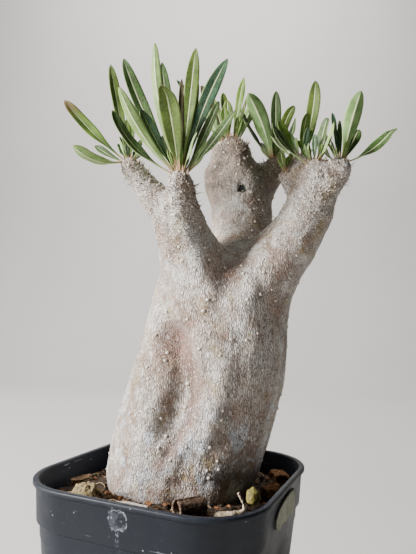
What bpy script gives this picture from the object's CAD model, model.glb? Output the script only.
"""The looks of a potted pachypodium, dressed over its CAD part.

Lengths are in metres in the row frame, unless a name or a docstring says millimetres. The plant has a
frame of its own, in millimetres: across, back and up, from the middle of the soil, turned PLANT_TURN.
"""

import logging
import math
import random
from dataclasses import dataclass, field
from enum import Enum
from typing import Any, Iterable, Sequence

import bpy
import numpy as np
from mathutils import Matrix, Vector, noise
from mathutils.bvhtree import BVHTree
from mathutils.kdtree import KDTree


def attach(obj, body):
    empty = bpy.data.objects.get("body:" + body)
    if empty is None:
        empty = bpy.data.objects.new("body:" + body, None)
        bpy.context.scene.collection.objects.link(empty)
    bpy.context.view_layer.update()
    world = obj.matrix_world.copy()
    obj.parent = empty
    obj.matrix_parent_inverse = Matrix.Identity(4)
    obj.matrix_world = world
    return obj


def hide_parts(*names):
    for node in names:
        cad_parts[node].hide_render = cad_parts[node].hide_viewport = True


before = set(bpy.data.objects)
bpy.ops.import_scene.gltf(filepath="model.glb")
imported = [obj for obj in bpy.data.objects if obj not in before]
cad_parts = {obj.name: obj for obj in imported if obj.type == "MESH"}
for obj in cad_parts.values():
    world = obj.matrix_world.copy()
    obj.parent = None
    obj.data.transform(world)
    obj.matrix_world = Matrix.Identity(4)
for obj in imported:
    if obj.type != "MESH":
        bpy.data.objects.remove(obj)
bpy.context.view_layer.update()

LOG = logging.getLogger("pachypodium")

MM = 0.001
BODY = "root"
SOIL_LEVEL = 81.0
PLANT_TURN = math.radians(23.3)
VIEWER = (10.4, -208.9, 67.4)

Colour = tuple[float, float, float]
Spot = tuple[float, float, float]


def to_world(place: Iterable[float]) -> Vector:
    """A point of the plant's frame, in millimetres, as a point of the row frame.

    Args:
        place: The point, across, back and up.

    Returns:
        The same point in metres.
    """
    across, back, up = place
    turn = Matrix.Rotation(PLANT_TURN, 3, "Z")
    return (turn @ Vector((across, back, 0)) + Vector((0, 0, SOIL_LEVEL + up))) * MM


def to_plant(points: np.ndarray) -> np.ndarray:
    """Points of the row frame, one a line, as points of the plant's frame in millimetres.

    Args:
        points: Points in metres.

    Returns:
        An array of the same shape.
    """
    c, s = math.cos(PLANT_TURN), math.sin(PLANT_TURN)
    x, y, z = points.T / MM
    return np.stack([x * c + y * s, y * c - x * s, z - SOIL_LEVEL], axis=1)


def ease(x: np.ndarray | float) -> np.ndarray | float:
    """A smooth step from 0 at x = 0 to 1 at x = 1."""
    x = np.clip(x, 0, 1)
    return x * x * (3 - 2 * x)


# Modelling by hand


def select(*things: bpy.types.Object) -> bpy.types.Object:
    """Selects these objects alone, and makes the first one active.

    Args:
        things: The objects.

    Returns:
        The first of them.
    """
    bpy.ops.object.select_all(action="DESELECT")
    for thing in things:
        thing.select_set(True)
    bpy.context.view_layer.objects.active = things[0]
    return things[0]


def added(name: str) -> bpy.types.Object:
    """The primitive that was just added, under its own name.

    Args:
        name: The name.

    Returns:
        The object.
    """
    thing = bpy.context.active_object
    thing.name = name
    thing.data.name = name
    return thing


def edit_all(thing: bpy.types.Object) -> None:
    """Goes into edit mode on one object, with all of it selected.

    Args:
        thing: The object.
    """
    select(thing)
    bpy.ops.object.mode_set(mode="EDIT")
    bpy.ops.mesh.select_all(action="SELECT")


def leave_edit() -> None:
    """Goes back to object mode."""
    bpy.ops.object.mode_set(mode="OBJECT")


def apply_place(thing: bpy.types.Object) -> None:
    """Moves an object's place, turn and scale into its mesh."""
    select(thing)
    bpy.ops.object.transform_apply(location=True, rotation=True, scale=True)


def modify(thing: bpy.types.Object, kind: str, **settings: Any) -> None:
    """Adds a modifier with these settings and applies it.

    Args:
        thing: The object.
        kind: The modifier's type.
        settings: Its properties.
    """
    select(thing)
    modifier = thing.modifiers.new(kind.lower(), kind)
    for key, value in settings.items():
        setattr(modifier, key, value)
    bpy.ops.object.modifier_apply(modifier=modifier.name)


def tidy_faces(thing: bpy.types.Object, merge: float = 1e-6) -> None:
    """Merges doubled vertices and turns the faces outwards.

    Args:
        thing: The object.
        merge: How near two vertices are merged.
    """
    edit_all(thing)
    bpy.ops.mesh.remove_doubles(threshold=merge)
    bpy.ops.mesh.normals_make_consistent(inside=False)
    leave_edit()


def smooth_shade(thing: bpy.types.Object, angle: float | None = None) -> None:
    """Shades an object smooth, with edges sharper than the angle in degrees kept."""
    select(thing)
    if angle is None:
        bpy.ops.object.shade_smooth()
    else:
        bpy.ops.object.shade_smooth_by_angle(angle=math.radians(angle))


def cad_copy(node: str, name: str) -> bpy.types.Object:
    """A copy of a CAD node's shape as a new, closed mesh.

    Args:
        node: The CAD node.
        name: The new object's name.

    Returns:
        The new object, with no material.
    """
    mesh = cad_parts[node].data.copy()
    mesh.materials.clear()
    thing = bpy.data.objects.new(name, mesh)
    bpy.context.scene.collection.objects.link(thing)
    edit_all(thing)
    bpy.ops.mesh.remove_doubles(threshold=2e-6)
    leave_edit()
    return thing


def points_of(thing: bpy.types.Object) -> np.ndarray:
    """An object's vertices, one a line.

    Args:
        thing: The object.

    Returns:
        An array of three columns.
    """
    points = np.empty(len(thing.data.vertices) * 3)
    thing.data.vertices.foreach_get("co", points)
    return points.reshape(-1, 3)


def normals_of(thing: bpy.types.Object) -> np.ndarray:
    """An object's vertex normals, one a line.

    Args:
        thing: The object.

    Returns:
        An array of three columns.
    """
    normals = np.empty(len(thing.data.vertices) * 3)
    thing.data.vertices.foreach_get("normal", normals)
    return normals.reshape(-1, 3)


def move_points(thing: bpy.types.Object, points: np.ndarray) -> None:
    """Gives an object's vertices new places."""
    thing.data.vertices.foreach_set("co", points.ravel())
    thing.data.update()


def paint(thing: bpy.types.Object, name: str, values: np.ndarray) -> None:
    """Stores one number a vertex, which a finish reads by name."""
    attribute = thing.data.attributes.new(name, "FLOAT", "POINT")
    attribute.data.foreach_set("value", values.astype(np.float32))


def bumps(points: np.ndarray, size: float, seed: float, octaves: int = 3) -> np.ndarray:
    """Fractal noise at each point, about -1 to 1.

    Args:
        points: Points in any one unit, one a line.
        size: The size of its largest lumps, in that unit.
        seed: Shifts the pattern.
        octaves: How many finer layers it has.

    Returns:
        A number for each point.
    """
    shift = Vector((seed, seed * 1.7, -seed))
    return np.array([noise.fractal(Vector(p) / size + shift, 0.6, 2.1, octaves) for p in points])


def skin_of(thing: bpy.types.Object) -> BVHTree:
    """An object's surface, to find places on."""
    return BVHTree.FromPolygons(
        [v.co for v in thing.data.vertices], [tuple(f.vertices) for f in thing.data.polygons]
    )


def place_copies(name: str, masters: Sequence[bpy.types.Object], places: Sequence[Matrix]) -> bpy.types.Object:
    """Copies small shapes to many places, each with its own mesh, and joins them in one piece.

    Args:
        name: The piece's name.
        masters: The shapes, taken in turn.
        places: A matrix for each copy.

    Returns:
        The joined piece, with its place in its mesh.
    """
    copies = []
    for number, place in enumerate(places):
        master = masters[number % len(masters)]
        copy = bpy.data.objects.new(f"{name}_part", master.data.copy())
        bpy.context.scene.collection.objects.link(copy)
        copy.matrix_world = place
        copies.append(copy)
    whole = bpy.data.objects.new(name, bpy.data.meshes.new(name))
    bpy.context.scene.collection.objects.link(whole)
    bpy.context.view_layer.update()
    select(whole, *copies)
    bpy.ops.object.join()
    smooth_shade(whole, 40)
    return whole


def discard(*things: bpy.types.Object) -> None:
    """Removes helper objects."""
    for thing in things:
        bpy.data.objects.remove(thing)


def finish_piece(
    thing: bpy.types.Object, finishes: Sequence[bpy.types.Material], replaced: Sequence[str] = ()
) -> bpy.types.Object:
    """Dresses a finished piece and hands it to the frame.

    Args:
        thing: The piece, with its place in its mesh.
        finishes: Its materials, in the order of its material slots.
        replaced: The CAD nodes it stands for.

    Returns:
        The piece.
    """
    for index, finish in enumerate(finishes):
        if index < len(thing.data.materials):
            thing.data.materials[index] = finish
        else:
            thing.data.materials.append(finish)
    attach(thing, BODY)
    if replaced:
        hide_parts(*replaced)
    LOG.info("%s: %d faces", thing.name, len(thing.data.polygons))
    return thing


# Finishes


class Graph:
    """A material's nodes, with a short call for each kind that the finishes use."""

    def __init__(self, name: str) -> None:
        """Starts a material with a plain Principled shader.

        Args:
            name: The material's name.
        """
        self.material = bpy.data.materials.new(name)
        self.material.use_nodes = True
        self.tree = self.material.node_tree
        self.shader = self.tree.nodes["Principled BSDF"]
        self.place = self.tree.nodes.new("ShaderNodeTexCoord").outputs["Object"]

    def plug(self, socket: Any, value: Any) -> None:
        """Links a socket to an input, or sets the input to a number or a colour."""
        if isinstance(value, bpy.types.NodeSocket):
            self.tree.links.new(value, socket)
        elif isinstance(value, tuple) and len(value) == 3 and socket.type == "RGBA":
            socket.default_value = (*value, 1)
        else:
            socket.default_value = value

    def stretched(self, scale: Spot, turn: Spot = (0, 0, 0), shift: Spot = (0, 0, 0)) -> Any:
        """Object coordinates, scaled, turned in degrees and shifted.

        Args:
            scale: Factors along x, y and z.
            turn: Angles about them.
            shift: Shift, in metres.

        Returns:
            The vector socket.
        """
        node = self.tree.nodes.new("ShaderNodeMapping")
        self.plug(node.inputs["Vector"], self.place)
        node.inputs["Scale"].default_value = scale
        node.inputs["Rotation"].default_value = tuple(math.radians(a) for a in turn)
        node.inputs["Location"].default_value = shift
        return node.outputs["Vector"]

    def noise(self, size: float, detail: float = 3, rough: float = 0.55, vector: Any = None, warp: float = 0) -> Any:
        """Noise whose lumps are about this many millimetres, from 0 to 1.

        Args:
            size: Size of the lumps.
            detail: Finer layers.
            rough: Strength of the finer layers.
            vector: Coordinates, or None for the plain ones.
            warp: Distortion.

        Returns:
            The number socket.
        """
        node = self.tree.nodes.new("ShaderNodeTexNoise")
        self.plug(node.inputs["Vector"], self.place if vector is None else vector)
        node.inputs["Scale"].default_value = 1 / (size * MM)
        node.inputs["Detail"].default_value = detail
        node.inputs["Roughness"].default_value = rough
        node.inputs["Distortion"].default_value = warp
        return node.outputs["Fac"]

    def cells(self, size: float, feature: str = "F1", vector: Any = None, spread: float = 1) -> Any:
        """Distance to the middle, or the edge, of cells about this many millimetres wide.

        Args:
            size: Width of the cells.
            feature: F1 for the middle, or DISTANCE_TO_EDGE.
            vector: Coordinates, or None for the plain ones.
            spread: How irregular the cells are.

        Returns:
            The number socket.
        """
        node = self.tree.nodes.new("ShaderNodeTexVoronoi")
        node.feature = feature
        self.plug(node.inputs["Vector"], self.place if vector is None else vector)
        node.inputs["Scale"].default_value = 1 / (size * MM)
        node.inputs["Randomness"].default_value = spread
        return node.outputs["Distance"]

    def warped(self, vector: Any, size: float, reach: float) -> Any:
        """A vector, pushed about by noise of this size, as far as this reach. Both are in millimetres.

        Args:
            vector: Coordinates.
            size: Size of the noise.
            reach: How far it pushes.

        Returns:
            The vector socket.
        """
        push = self.tree.nodes.new("ShaderNodeTexNoise")
        self.plug(push.inputs["Vector"], self.place)
        push.inputs["Scale"].default_value = 1 / (size * MM)
        centred = self.tree.nodes.new("ShaderNodeVectorMath")
        centred.operation = "SUBTRACT"
        self.plug(centred.inputs[0], push.outputs["Color"])
        centred.inputs[1].default_value = (0.5, 0.5, 0.5)
        node = self.tree.nodes.new("ShaderNodeVectorMath")
        node.operation = "MULTIPLY_ADD"
        self.plug(node.inputs[0], centred.outputs[0])
        node.inputs[1].default_value = (2 * reach * MM,) * 3
        self.plug(node.inputs[2], vector)
        return node.outputs[0]

    def sum(self, kind: str, *values: Any, clamp: bool = False) -> Any:
        """A Math node of this kind on two or three values.

        Args:
            kind: The node's operation.
            values: Numbers or sockets.
            clamp: Whether the result stays within 0 and 1.

        Returns:
            The number socket.
        """
        node = self.tree.nodes.new("ShaderNodeMath")
        node.operation = kind
        node.use_clamp = clamp
        for socket, value in zip(node.inputs, values):
            self.plug(socket, value)
        return node.outputs[0]

    def mask(self, value: Any, low: float, high: float) -> Any:
        """0 where the value is at low, rising smoothly to 1 at high. Low may be the larger.

        Args:
            value: A number socket.
            low: Where the mask is 0.
            high: Where it is 1.

        Returns:
            The number socket.
        """
        node = self.tree.nodes.new("ShaderNodeMapRange")
        node.interpolation_type = "SMOOTHSTEP"
        self.plug(node.inputs["Value"], value)
        node.inputs["From Min"].default_value = min(low, high)
        node.inputs["From Max"].default_value = max(low, high)
        node.inputs["To Min"].default_value = 0 if low < high else 1
        node.inputs["To Max"].default_value = 1 if low < high else 0
        return node.outputs["Result"]

    def ramp(self, value: Any, *stops: tuple[float, Colour]) -> Any:
        """A colour ramp through these stops.

        Args:
            value: A number socket.
            stops: Places from 0 to 1, each with a colour.

        Returns:
            The colour socket.
        """
        node = self.tree.nodes.new("ShaderNodeValToRGB")
        self.plug(node.inputs["Fac"], value)
        marks = node.color_ramp.elements
        while len(marks) < len(stops):
            marks.new(0.5)
        for mark, (at, colour) in zip(marks, stops):
            mark.position = at
            mark.color = (*colour, 1)
        return node.outputs["Color"]

    def mix(self, share: Any, first: Any, second: Any, kind: str = "MIX") -> Any:
        """Mixes two colours.

        Args:
            share: How much of the second shows.
            first: The colour beneath.
            second: The colour over it.
            kind: The blend type.

        Returns:
            The colour socket.
        """
        node = self.tree.nodes.new("ShaderNodeMix")
        node.data_type = "RGBA"
        node.blend_type = kind
        for socket, value in zip((node.inputs[0], node.inputs[6], node.inputs[7]), (share, first, second)):
            self.plug(socket, value)
        return node.outputs[2]

    def painted(self, name: str) -> Any:
        """A number painted on the piece's vertices."""
        node = self.tree.nodes.new("ShaderNodeAttribute")
        node.attribute_name = name
        return node.outputs["Fac"]

    def axes(self, vector: Any) -> Any:
        """The x, y and z sockets of a vector."""
        node = self.tree.nodes.new("ShaderNodeSeparateXYZ")
        self.plug(node.inputs[0], vector)
        return node.outputs

    def uv(self) -> Any:
        """The piece's own UV map."""
        node = self.tree.nodes.new("ShaderNodeUVMap")
        return node.outputs["UV"]

    def relief(self, height: Any, depth: float, strength: float = 1, under: Any = None) -> Any:
        """A bump of this depth in millimetres, laid over another.

        Args:
            height: A number socket.
            depth: Its depth.
            strength: Its strength.
            under: The relief beneath it.

        Returns:
            The normal socket.
        """
        node = self.tree.nodes.new("ShaderNodeBump")
        node.inputs["Strength"].default_value = strength
        node.inputs["Distance"].default_value = depth * MM
        self.plug(node.inputs["Height"], height)
        if under is not None:
            self.plug(node.inputs["Normal"], under)
        return node.outputs["Normal"]

    def finish(self, colour: Any, rough: Any, relief: Any = None, **sockets: float) -> bpy.types.Material:
        """Wires the shader.

        Args:
            colour: Its base colour.
            rough: Its roughness.
            relief: Its normal.
            sockets: Other inputs, with spaces written as underscores.

        Returns:
            The material.
        """
        self.plug(self.shader.inputs["Base Color"], colour)
        self.plug(self.shader.inputs["Roughness"], rough)
        if relief is not None:
            self.plug(self.shader.inputs["Normal"], relief)
        for name, value in sockets.items():
            self.shader.inputs[name.replace("_", " ")].default_value = value
        return self.material


@dataclass(frozen=True)
class BarkFinish:
    """Silver living bark: finely cracked, pink in its hollows, speckled and beaded on its branches."""

    silver: Colour = (0.62, 0.57, 0.53)
    white: Colour = (0.90, 0.89, 0.87)
    frost: Colour = (0.66, 0.71, 0.79)
    tan: Colour = (0.325, 0.23, 0.18)
    pink: Colour = (0.25, 0.125, 0.095)
    russet: Colour = (0.40, 0.215, 0.135)
    ochre: Colour = (0.46, 0.32, 0.10)
    grey: Colour = (0.15, 0.115, 0.09)
    dark: Colour = (0.035, 0.026, 0.018)
    scar: Colour = (0.006, 0.013, 0.010)

    def build(self) -> bpy.types.Material:
        """Makes the material, which reads the caudex's painted masks.

        Returns:
            The material.
        """
        g = Graph("living_bark")
        heads, rings = g.painted("heads"), g.painted("rings")
        wrinkle = g.mix(rings, self.crackle(g, (1, 1, 0.26)), self.crackle(g, (0.42, 0.42, 1.2)))
        colour = self.ground(g)
        colour = g.mix(g.sum("MULTIPLY", g.painted("hollow"), 0.92), colour, self.pink)
        rear = g.painted("rear")
        earthy = g.mix(g.mask(g.noise(6, 4, 0.6), 0.42, 0.60), self.grey, self.tan)
        colour = g.mix(g.sum("MULTIPLY", rear, g.mask(heads, -0.3, 0.7)), colour, earthy)
        crack = g.mask(wrinkle, 0.12, 0.02)
        depth = g.mask(g.noise(2.6, 4, 0.65), 0.32, 0.56)
        colour = g.mix(g.sum("MULTIPLY", crack, g.sum("MULTIPLY", depth, 0.95)), colour, self.grey)
        shine = g.sum("MULTIPLY", g.mask(wrinkle, 0.16, 0.36), g.mask(g.noise(3.5, 4, 0.65), 0.40, 0.58))
        lit = g.mask(g.noise(11, 3, 0.6, g.stretched((1, 1, 0.8), shift=(0.9, 0.4, 0.2)), 0.6), 0.32, 0.68)
        colour = g.mix(g.sum("MULTIPLY", shine, g.sum("MULTIPLY", lit, 0.85)), colour, self.white)
        beads = g.cells(1.0, vector=g.warped(g.stretched((1, 1, 1.25)), 2.5, 0.3), spread=0.8)
        upper = g.sum("MULTIPLY", g.mask(heads, 0.15, 0.85), g.mask(rear, 1.3, 0.2))
        bead = g.mask(beads, 0.44, 0.18)
        colour = g.mix(g.sum("MULTIPLY", g.sum("MULTIPLY", bead, upper), 0.55), colour, self.white)
        gap = g.mask(beads, 0.50, 0.68)
        colour = g.mix(g.sum("MULTIPLY", g.sum("MULTIPLY", gap, upper), 0.55), colour, self.grey)
        fleck = g.sum("MULTIPLY", g.mask(g.cells(1.9), 0.20, 0.12), g.mask(g.noise(5), 0.44, 0.55))
        colour = g.mix(g.sum("MULTIPLY", fleck, g.mask(heads, 0.0, 0.3)), colour, self.dark)
        low = g.painted("low")
        colour = g.mix(g.sum("MULTIPLY", low, 0.72), colour, g.mix(g.noise(3), self.grey, self.tan))
        colour = g.mix(g.sum("MULTIPLY", g.painted("knob_under"), 0.60), colour, self.grey)
        colour = g.mix(g.mask(g.painted("pit"), 0.25, 0.6), colour, self.scar)
        relief = g.relief(g.noise(12, 3), 0.5, 0.35)
        relief = g.relief(g.mask(wrinkle, 0.0, 0.26), 0.24, 1.0, relief)
        relief = g.relief(g.noise(1.5, 4, 0.7, g.stretched((1, 1, 0.3), (0, -7, 0)), 0.4), 0.6, 0.9, relief)
        relief = g.relief(g.sum("MULTIPLY", bead, upper), 0.40, 0.9, relief)
        relief = g.relief(g.noise(0.7, 3, 0.7), 0.16, 0.7, relief)
        return g.finish(colour, g.sum("ADD", 0.34, g.sum("MULTIPLY", crack, 0.35)), relief, Specular_IOR_Level=0.6)

    def crackle(self, g: Graph, stretch: Spot) -> Any:
        """Distance from the nearest of many fine, wavering cracks that run along the small axis of the stretch."""
        vector = g.warped(g.warped(g.stretched(stretch, (0, -7, 0)), 3.0, 0.7), 0.9, 0.22)
        return g.cells(0.66, "DISTANCE_TO_EDGE", vector)

    def ground(self, g: Graph) -> Any:
        """The bark's broad colours, under its cracks.

        Args:
            g: The graph.

        Returns:
            The colour socket.
        """
        patch = g.noise(9, 4, 0.62, g.stretched((1, 1, 0.7), shift=(0.3, 0.1, 0)), 0.8)
        colour = g.mix(g.mask(g.noise(17, 3, 0.55, warp=0.6), 0.38, 0.62), self.silver, self.tan)
        colour = g.mix(g.sum("MULTIPLY", g.mask(patch, 0.44, 0.70), 0.80), colour, self.white)
        rust = g.mask(g.noise(6, 4, 0.65, g.stretched((1, 1, 0.6), shift=(0.7, 0.2, 0.4))), 0.52, 0.66)
        colour = g.mix(g.sum("MULTIPLY", rust, 0.50), colour, self.russet)
        moss = g.mask(g.noise(9, 4, 0.65, g.stretched((1, 1, 1), shift=(-0.5, 0.6, 0.9))), 0.53, 0.68)
        colour = g.mix(g.sum("MULTIPLY", moss, 0.55), colour, self.ochre)
        cold = g.mask(g.noise(7, 4, 0.6, g.stretched((1, 1, 0.8), shift=(0.11, 0.5, 0.3)), 0.5), 0.50, 0.62)
        cold = g.sum("MULTIPLY", cold, g.painted("frosted"))
        colour = g.mix(g.sum("MULTIPLY", cold, 0.85), colour, self.frost)
        return g.mix(g.sum("MULTIPLY", g.mask(g.noise(2.4, 4, 0.7), 0.42, 0.62), 0.28), colour, self.tan)


@dataclass(frozen=True)
class KnobFinish:
    """A pale corky knob on the bark."""

    top: Colour = (0.72, 0.68, 0.62)
    rim: Colour = (0.34, 0.27, 0.20)

    def build(self) -> bpy.types.Material:
        """Makes the material.

        Returns:
            The material.
        """
        g = Graph("bark_knob")
        colour = g.mix(g.mask(g.noise(0.9, 3, 0.65), 0.42, 0.62), self.top, self.rim)
        return g.finish(colour, 0.5, g.relief(g.noise(0.5, 2), 0.12, 0.7), Specular_IOR_Level=0.5)


@dataclass(frozen=True)
class SpineFinish:
    """Short dead spines and leaf scars, from pale tan to grey-brown."""

    name: str
    pale: Colour
    deep: Colour

    def build(self) -> bpy.types.Material:
        """Makes the material, whose tone changes from spine to spine.

        Returns:
            The material.
        """
        g = Graph(self.name)
        tone = g.noise(3.1, 2, 0.6)
        colour = g.ramp(tone, (0.32, self.deep), (0.66, self.pale))
        colour = g.mix(g.mask(g.noise(0.5, 2), 0.5, 0.35), colour, self.deep)
        return g.finish(colour, 0.72, g.relief(g.noise(0.4), 0.1, 0.6))


class Tone(Enum):
    """A leaf's green, as base colours of its upper side and of its darker streaks."""

    OLIVE = ((0.070, 0.125, 0.006), (0.034, 0.068, 0.003))
    DARK = ((0.018, 0.066, 0.006), (0.007, 0.030, 0.003))
    BLUE = ((0.022, 0.085, 0.052), (0.010, 0.043, 0.028))
    BRIGHT = ((0.110, 0.210, 0.018), (0.055, 0.120, 0.008))
    BROWN = ((0.070, 0.035, 0.020), (0.030, 0.014, 0.009))


class Side(Enum):
    """Which side of a leaf a viewer in front sees."""

    UPPER = 1
    UNDER = -1


@dataclass(frozen=True)
class LeafFinish:
    """A leathery leaf side. Its UV map runs 0 to 1 across the blade, and 0 to 1 from stalk to tip."""

    name: str
    blade: Colour
    streak: Colour
    rib: Colour = (0.62, 0.68, 0.40)
    edge: Colour = (0.30, 0.38, 0.14)
    stalk: Colour = (0.42, 0.25, 0.13)
    tip: Colour = (0.16, 0.07, 0.03)
    rib_half: float = 0.046
    vein_depth: float = 0.10
    rough: float = 0.47

    def build(self) -> bpy.types.Material:
        """Makes the material of this side.

        Returns:
            The material.
        """
        g = Graph(self.name)
        across, along, _ = g.axes(g.uv())
        off = g.sum("ABSOLUTE", g.sum("SUBTRACT", across, 0.5))
        wander = g.sum("MULTIPLY", g.sum("SUBTRACT", g.noise(5, 2), 0.5), 0.02)
        off_rib = g.sum("ADD", off, wander)
        colour = g.mix(g.mask(g.noise(4.5, 3, 0.6), 0.38, 0.66), self.blade, self.streak)
        slant = g.sum("SUBTRACT", g.sum("MULTIPLY", along, 34.0), g.sum("MULTIPLY", off, 9.0))
        vein = g.sum("FRACT", g.sum("ADD", slant, g.sum("MULTIPLY", g.noise(2.2, 2), 1.6)))
        vein = g.mask(g.sum("ABSOLUTE", g.sum("SUBTRACT", vein, 0.5)), 0.10, 0.02)
        colour = g.mix(g.sum("MULTIPLY", vein, 0.28), colour, self.edge)
        grain = g.noise(0.6, 3, 0.6)
        colour = g.mix(g.sum("MULTIPLY", g.mask(grain, 0.4, 0.65), 0.22), colour, self.edge)
        margin = g.mask(off, 0.452, 0.482)
        colour = g.mix(g.sum("MULTIPLY", margin, 0.8), colour, self.edge)
        fade = g.mask(along, 0.985, 0.80)
        rib = g.mask(off_rib, self.rib_half, self.rib_half * 0.45)
        colour = g.mix(g.sum("MULTIPLY", rib, fade), colour, self.rib)
        root = g.mask(g.sum("ADD", along, g.sum("MULTIPLY", g.sum("SUBTRACT", grain, 0.5), 0.1)), 0.15, 0.02)
        colour = g.mix(g.sum("MULTIPLY", root, 0.85), colour, self.stalk)
        scorch = g.sum("MAXIMUM", g.mask(along, 0.975, 1.0), g.painted("scorch"))
        colour = g.mix(g.sum("MULTIPLY", scorch, 0.75), colour, self.tip)
        relief = g.relief(g.sum("MAXIMUM", vein, g.sum("MULTIPLY", grain, 0.5)), self.vein_depth, 0.6)
        relief = g.relief(rib, 0.25, 0.8, relief)
        rough = g.sum("ADD", self.rough, g.sum("MULTIPLY", grain, 0.12))
        return g.finish(colour, rough, relief, Specular_IOR_Level=0.36)


def leaf_finishes(tone: Tone) -> tuple[bpy.types.Material, bpy.types.Material]:
    """The upper and under side's materials of a leaf of this green.

    Args:
        tone: The leaf's green.

    Returns:
        The upper and the under material.
    """
    blade, streak = tone.value
    label = tone.name.lower()
    upper = LeafFinish(f"leaf_upper_{label}", blade, streak)
    if tone is Tone.BROWN:
        under = LeafFinish(f"leaf_under_{label}", (0.20, 0.12, 0.07), (0.12, 0.06, 0.035), rib=(0.3, 0.2, 0.12))
    else:
        warm = 0.5 if tone in (Tone.OLIVE, Tone.BRIGHT) else 0.2
        pale = (0.21 + 0.05 * warm, 0.37, 0.15 - 0.08 * warm)
        deep = (0.115 + 0.04 * warm, 0.24, 0.08 - 0.05 * warm)
        under = LeafFinish(
            f"leaf_under_{label}", pale, deep, rib=(0.74, 0.80, 0.52), rib_half=0.062, vein_depth=0.2, rough=0.46
        )
    return upper.build(), under.build()


@dataclass(frozen=True)
class PotFinish:
    """Dusty blue-black plastic, with specks, scratches and a dried water mark on its front collar."""

    body: Colour = (0.0085, 0.0115, 0.0185)
    dust: Colour = (0.024, 0.028, 0.038)
    chalk: Colour = (0.30, 0.33, 0.39)
    fleck: Colour = (0.46, 0.36, 0.22)
    mark: Spot = (0.0008, -0.0436, 0.0845)
    mark_radius: float = 0.0031

    def build(self) -> bpy.types.Material:
        """Makes the material.

        Returns:
            The material.
        """
        g = Graph("pot_plastic")
        cloud = g.noise(24, 4, 0.6, warp=0.5)
        fine = g.noise(3.0, 4, 0.65)
        colour = g.mix(g.sum("MULTIPLY", g.mask(cloud, 0.38, 0.72), 0.5), self.body, self.dust)
        colour = g.mix(g.sum("MULTIPLY", g.mask(fine, 0.5, 0.75), 0.28), colour, self.dust)
        drag = g.noise(1.3, 2, 0.5, g.stretched((0.10, 0.10, 1.4), (0, 24, 0)), 0.2)
        scratch = g.sum("MULTIPLY", g.mask(drag, 0.685, 0.72), g.mask(g.noise(14), 0.5, 0.6))
        colour = g.mix(g.sum("MULTIPLY", scratch, 0.5), colour, self.chalk)
        speck = g.sum("MULTIPLY", g.mask(g.cells(3.4), 0.11, 0.06), g.mask(g.noise(6), 0.5, 0.56))
        colour = g.mix(g.sum("MULTIPLY", speck, 0.8), colour, self.chalk)
        x, y, z = g.axes(g.place)
        dx = g.sum("SUBTRACT", x, self.mark[0])
        dz = g.sum("SUBTRACT", z, self.mark[2])
        far = g.sum("SQRT", g.sum("ADD", g.sum("MULTIPLY", dx, dx), g.sum("MULTIPLY", dz, dz)))
        far = g.sum("ADD", far, g.sum("MULTIPLY", g.sum("SUBTRACT", g.noise(2.6, 4, 0.6), 0.5), 0.0068))
        front = g.mask(y, -0.0410, -0.0425)
        ring = g.mask(g.sum("ABSOLUTE", g.sum("SUBTRACT", far, self.mark_radius)), 0.00055, 0.00015)
        ring = g.sum("MULTIPLY", ring, g.mask(g.noise(1.6, 3, 0.7), 0.40, 0.58))
        film = g.sum("MULTIPLY", g.mask(far, self.mark_radius, 0.0026), g.mask(fine, 0.35, 0.7))
        drip = g.sum("MULTIPLY", g.mask(g.sum("ABSOLUTE", dx), 0.0009, 0.0003), g.mask(dz, 0, -0.004))
        drip = g.sum("MULTIPLY", drip, g.mask(g.noise(1.2, 3, 0.7), 0.48, 0.6))
        stain = g.sum("MAXIMUM", g.sum("MULTIPLY", ring, 0.85), g.sum("MULTIPLY", film, 0.30))
        stain = g.sum("MULTIPLY", g.sum("MAXIMUM", stain, g.sum("MULTIPLY", drip, 0.5)), front)
        colour = g.mix(stain, colour, self.chalk)
        crust = g.sum("MULTIPLY", g.mask(g.cells(1.4), 0.30, 0.22), g.mask(far, self.mark_radius * 0.5, 0.0010))
        colour = g.mix(g.sum("MULTIPLY", crust, front), colour, self.fleck)
        worn = g.sum("MULTIPLY", g.mask(z, 0.0885, 0.0899), g.mask(fine, 0.3, 0.6))
        colour = g.mix(g.sum("MULTIPLY", worn, 0.55), colour, self.dust)
        rough = g.sum("ADD", 0.40, g.sum("MULTIPLY", g.mask(cloud, 0.3, 0.7), 0.2))
        rough = g.sum("ADD", rough, g.sum("MULTIPLY", stain, 0.3), clamp=True)
        relief = g.relief(g.noise(9, 2), 0.12, 0.5)
        relief = g.relief(fine, 0.05, 0.4, relief)
        relief = g.relief(g.sum("MAXIMUM", scratch, stain), 0.05, 0.5, relief)
        return g.finish(colour, rough, relief, Specular_IOR_Level=0.22)


@dataclass(frozen=True)
class EarthFinish:
    """A rough, dry, broken material in three tones: soil, stone or bark."""

    name: str
    deep: Colour
    middle: Colour
    pale: Colour
    grain: float = 1.2
    depth: float = 0.5
    pits: float = 0.0
    stretch: Spot = (1, 1, 1)
    rough: float = 0.9

    def build(self) -> bpy.types.Material:
        """Makes the material.

        Returns:
            The material.
        """
        g = Graph(self.name)
        vector = g.stretched(self.stretch)
        broad = g.noise(self.grain * 5, 3, 0.6)
        fine = g.noise(self.grain, 4, 0.7, vector)
        colour = g.ramp(fine, (0.34, self.deep), (0.52, self.middle), (0.72, self.pale))
        colour = g.mix(g.sum("MULTIPLY", g.mask(broad, 0.4, 0.7), 0.4), colour, self.middle)
        height = fine
        if self.pits:
            pit = g.mask(g.cells(self.pits), 0.42, 0.2)
            colour = g.mix(g.sum("MULTIPLY", pit, 0.6), colour, self.deep)
            height = g.sum("SUBTRACT", fine, pit)
        relief = g.relief(height, self.depth, 0.9)
        relief = g.relief(g.noise(self.grain * 0.35, 2, 0.7), self.depth * 0.3, 0.7, relief)
        return g.finish(colour, self.rough, relief, Specular_IOR_Level=0.25)


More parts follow.
